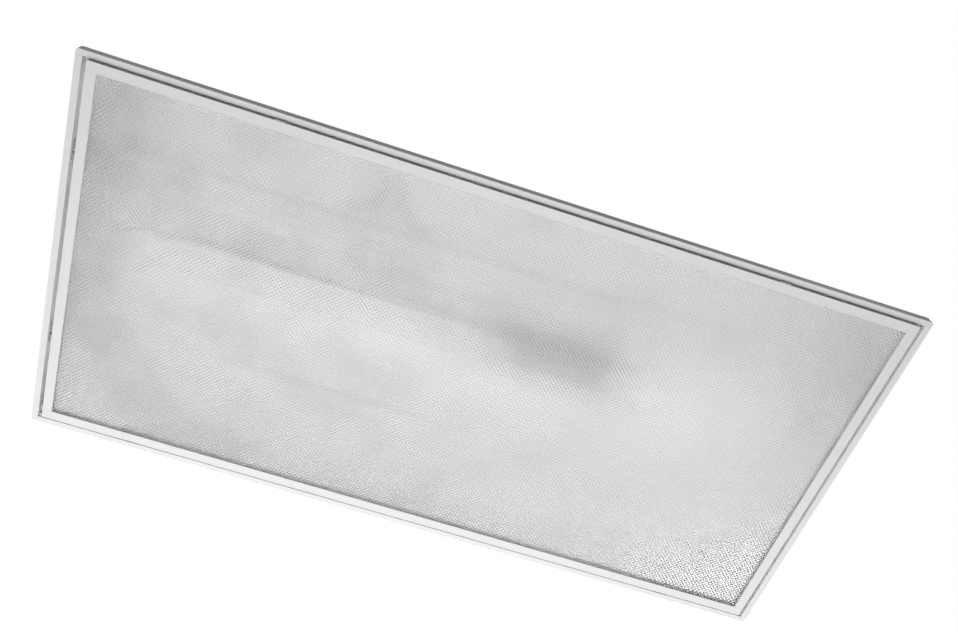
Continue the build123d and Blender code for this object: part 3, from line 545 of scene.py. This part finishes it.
def tip_shade(tree, place, along, on_prisms, from_tip):
    """Painted shade on the acrylic: only at the prism tips, in clouds, and less and less along X."""
    tips = spread(tree, from_tip, TIP_EDGES, (1.0, 0.0))
    clouds = spread(tree, noise(tree, place, *TIP_NOISE), TIP_CLOUD_EDGES, TIP_CLOUD_LEVELS)
    shade = on_prisms
    for factor in (tips, clouds, spread(tree, along, TIP_ENDS, TIP_LEVELS)):
        shade = combine(tree, "MULTIPLY", shade, factor)
    return shade


def make_acrylic(low, high):
    """Clear acrylic with the haze, painted shade at the prism tips and the rounding of the prisms."""
    material = bpy.data.materials.new("clear_acrylic")
    material.use_nodes = True
    tree = material.node_tree
    shader = tree.nodes["Principled BSDF"]
    shader.inputs["Transmission Weight"].default_value = ACRYLIC_CLEARNESS
    shader.inputs["IOR"].default_value = ACRYLIC_IOR
    place = tree.nodes.new("ShaderNodeTexCoord").outputs["Object"]
    axis = axes(tree, place)
    prism_top = low.z + PRISM_DEPTH
    on_prisms = spread(tree, axis["Z"], (prism_top, prism_top + PRISM_FADE), (1.0, 0.0))
    grid = prism_grid(tree, place, low, high)
    straight = tip_distance(tree, grid, "EUCLIDEAN")
    stepped = tip_distance(tree, grid, "CHEBYCHEV")
    cone = combine(tree, "MULTIPLY", combine(tree, "SUBTRACT", straight, stepped), on_prisms)
    shade = tip_shade(tree, place, axis["X"], on_prisms, straight)
    feed(tree, shader.inputs["Roughness"], acrylic_haze(tree, place, axis["X"]))
    # The prism tips are greyed here with painted shade.
    feed(tree, shader.inputs["Base Color"], blend_colour(tree, shade, WHITE, PAINTED_TIP_SHADE))
    feed(tree, shader.inputs["Normal"], bump(tree, cone, 2 * PRISM_DEPTH))
    return material


finishes["clear_acrylic"] = make_acrylic(panel_low, panel_high)
print("acrylic haze", HAZE_LEVELS, "along X", HAZE_ENDS)

# %% [markdown]
# ## Dressing the frame
# The record names a material slot for each CAD node. The finishes have the names of the slots, so
# one loop dresses all the nodes.

# %% Give every CAD node its finish
slot_of = {part["node"]: part["material_slot"] for part in frame["record"]["subparts"]}
for name, item in nodes.items():
    item.data.materials.clear()
    item.data.materials.append(finishes[slot_of[name]])
print(len(slot_of), "nodes dressed")

# %% [markdown]
# ## Folded sheet steel
# No folded or cut sheet has a knife edge: paint and the press leave it a little round, and that round
# edge catches the light and draws the fine lines between the pieces. A copy of each CAD piece is
# merged, its flat faces are joined again, and a Bevel modifier rounds what is sharper than 40
# degrees. Weighted normals keep the wide faces flat beside their round edges. The copy stands for the
# node, and moves with the same body.

# %% Rounded copies
MERGE_DISTANCE = 0.01 * MM
FLAT_ANGLE = math.radians(0.5)
SHARP_ANGLE = math.radians(40)
SMOOTH_ANGLE = math.radians(35)
SHEET_ROUND = 0.3 * MM
ROUND_STEPS = 2


def rounded(node):
    """A copy of a CAD node with its sharp edges rounded; it replaces the node."""
    piece = bpy.data.objects.new(node + "_finished", nodes[node].data.copy())
    bpy.context.collection.objects.link(piece)
    deselect()
    piece.select_set(True)
    bpy.context.view_layer.objects.active = piece
    bpy.ops.object.mode_set(mode="EDIT")
    bpy.ops.mesh.select_all(action="SELECT")
    bpy.ops.mesh.remove_doubles(threshold=MERGE_DISTANCE)
    bpy.ops.mesh.dissolve_limited(angle_limit=FLAT_ANGLE)
    bpy.ops.object.mode_set(mode="OBJECT")
    bevel = piece.modifiers.new("rounded_edges", "BEVEL")
    bevel.limit_method = "ANGLE"
    bevel.angle_limit = SHARP_ANGLE
    bevel.width = SHEET_ROUND
    bevel.segments = ROUND_STEPS
    bpy.ops.object.modifier_apply(modifier=bevel.name)
    bpy.ops.object.shade_smooth_by_angle(angle=SMOOTH_ANGLE)
    flat = piece.modifiers.new("flat_faces", "WEIGHTED_NORMAL")
    flat.keep_sharp = True
    bpy.ops.object.modifier_apply(modifier=flat.name)
    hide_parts(node)
    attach(piece, nodes[node]["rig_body"])
    return piece


sheet_pieces = ["housing_shell", "end_plate_left", "end_plate_right", "access_plate", "ballast_tray"]
sheet_pieces += ["door_rail_near", "door_rail_far", "door_rail_left", "door_rail_right"]
sheet_pieces += ["latch_slider_left", "latch_slider_right"]
for name in sheet_pieces:
    piece = rounded(name)
    print(piece.name, len(nodes[name].data.polygons), "to", len(piece.data.polygons), "faces")

# %% [markdown]
# ## The blind grommet
# The supply cable comes in through the round knockout of the access plate. Until then a closed
# rubber grommet keeps the dust out. It is round, so it is turned: a circle is the first ring, and
# each further ring is extruded up and scaled to its own radius, as on a lathe. The two open ends
# are then filled. Its groove holds the edge of the plate. The radii and heights are in millimetres,
# and height 0 is the top of the plate.

# %% Turned pieces
TURNED_SIDES = 64
TURNED_SMOOTH_ANGLE = math.radians(30)


def turned(name, place, rings):
    """A turned piece: its rings are (radius, height) pairs about an upright axis, in order."""
    x, y, z = place
    radius, height = rings[0]
    deselect()
    start = (x, y, z + height)
    bpy.ops.mesh.primitive_circle_add(vertices=TURNED_SIDES, radius=radius, location=start)
    piece = bpy.context.object
    piece.name = name
    bpy.ops.object.transform_apply(location=True, rotation=True, scale=True)
    bpy.ops.object.mode_set(mode="EDIT")
    bpy.ops.mesh.select_all(action="SELECT")
    for next_radius, next_height in rings[1:]:
        rise = (0, 0, next_height - height)
        bpy.ops.mesh.extrude_region_move(TRANSFORM_OT_translate={"value": rise})
        ratio = next_radius / radius
        middle = (x, y, z + next_height)
        bpy.ops.transform.resize(value=(ratio, ratio, 1), center_override=middle)
        radius, height = next_radius, next_height
    bpy.ops.mesh.select_all(action="SELECT")
    bpy.ops.mesh.fill_holes(sides=0)
    bpy.ops.mesh.select_all(action="SELECT")
    bpy.ops.mesh.normals_make_consistent(inside=False)
    bpy.ops.object.mode_set(mode="OBJECT")
    bpy.ops.object.shade_smooth_by_angle(angle=TURNED_SMOOTH_ANGLE)
    return piece


# %% Grommet
SKIN, NECK, DISH, NECK_EDGE = 9.2, 9.6, 10.2, 10.6
GROOVE, BEAD, RIM_EDGE, RIM = 11.0, 12.2, 13.0, 13.4
NECK_END, BEAD_END, SKIN_UNDER, PLATE_UNDER = -4.0, -1.6, -1.2, -0.85
SKIN_TOP, PLATE_TOP, RIM_SIDE, RIM_TOP = -0.4, 0.0, 1.0, 1.4
grommet_profile = [
    (SKIN, SKIN_UNDER),
    (NECK, NECK_END),
    (NECK_EDGE, NECK_END),
    (BEAD, BEAD_END),
    (BEAD, PLATE_UNDER),
    (GROOVE, PLATE_UNDER),
    (GROOVE, PLATE_TOP),
    (RIM, PLATE_TOP),
    (RIM, RIM_SIDE),
    (RIM_EDGE, RIM_TOP),
    (DISH, RIM_TOP),
    (NECK, RIM_SIDE),
    (SKIN, SKIN_TOP),
]

supply = next(mount for mount in frame["record"]["mounts"] if mount["name"] == "supply_knockout")
seat = (supply["pos_m"][0], supply["pos_m"][1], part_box("access_plate")[1].z)
grommet_rings = [(radius * MM, height * MM) for radius, height in grommet_profile]
grommet = turned("blind_grommet", seat, grommet_rings)
grommet.data.materials.append(finishes["black_rubber"])
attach(grommet, "housing")
print(grommet.name, len(grommet.data.polygons), "faces")

# %% [markdown]
# ## The prismatic lens
# The lens is a clear panel with square prisms on its room side, set at 45 degrees to its edges. A
# flat grid, turned by 45 degrees, gets one prism in each cell: Poke adds a point in the middle of
# every face and pulls it down. The panel's four edges are cut with Bisect, the open border is
# extruded up past the panel's top, and one more Bisect closes the flat top.

# %% Lens
WALL_HEIGHT = 20 * MM


def cut(place, normal, fill=False):
    """Cuts all of the mesh in edit mode and clears what lies beyond the plane."""
    bpy.ops.mesh.select_all(action="SELECT")
    bpy.ops.mesh.bisect(plane_co=place, plane_no=normal, use_fill=fill, clear_outer=True)


def make_lens(low, high):
    """The lens with a prism in every cell, closed at its four sides and at its top."""
    centre = (low + high) / 2
    cells = prism_cells(low, high)
    deselect()
    bpy.ops.mesh.primitive_grid_add(
        x_subdivisions=cells,
        y_subdivisions=cells,
        size=cells * PRISM_PITCH,
        location=(centre.x, centre.y, low.z + PRISM_DEPTH),
        rotation=(0, 0, PRISM_TURN),
    )
    lens = bpy.context.object
    lens.name = "prism_lens"
    bpy.ops.object.transform_apply(location=True, rotation=True, scale=True)
    bpy.ops.object.mode_set(mode="EDIT")
    bpy.ops.mesh.select_all(action="SELECT")
    bpy.ops.mesh.poke(offset=-PRISM_DEPTH, use_relative_offset=False)
    cut((high.x, 0, 0), (1, 0, 0))
    cut((low.x, 0, 0), (-1, 0, 0))
    cut((0, high.y, 0), (0, 1, 0))
    cut((0, low.y, 0), (0, -1, 0))
    bpy.ops.mesh.select_all(action="DESELECT")
    bpy.ops.mesh.select_mode(type="EDGE")
    bpy.ops.mesh.select_non_manifold()
    bpy.ops.mesh.extrude_region_move(TRANSFORM_OT_translate={"value": (0, 0, WALL_HEIGHT)})
    cut((0, 0, high.z), (0, 0, 1), fill=True)
    bpy.ops.mesh.select_all(action="SELECT")
    bpy.ops.mesh.normals_make_consistent(inside=False)
    bpy.ops.object.mode_set(mode="OBJECT")
    lens.data.materials.append(finishes["clear_acrylic"])
    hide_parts("lens_panel")
    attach(lens, "door")
    return lens


lens = make_lens(panel_low, panel_high)
print("lens", len(lens.data.polygons), "faces")
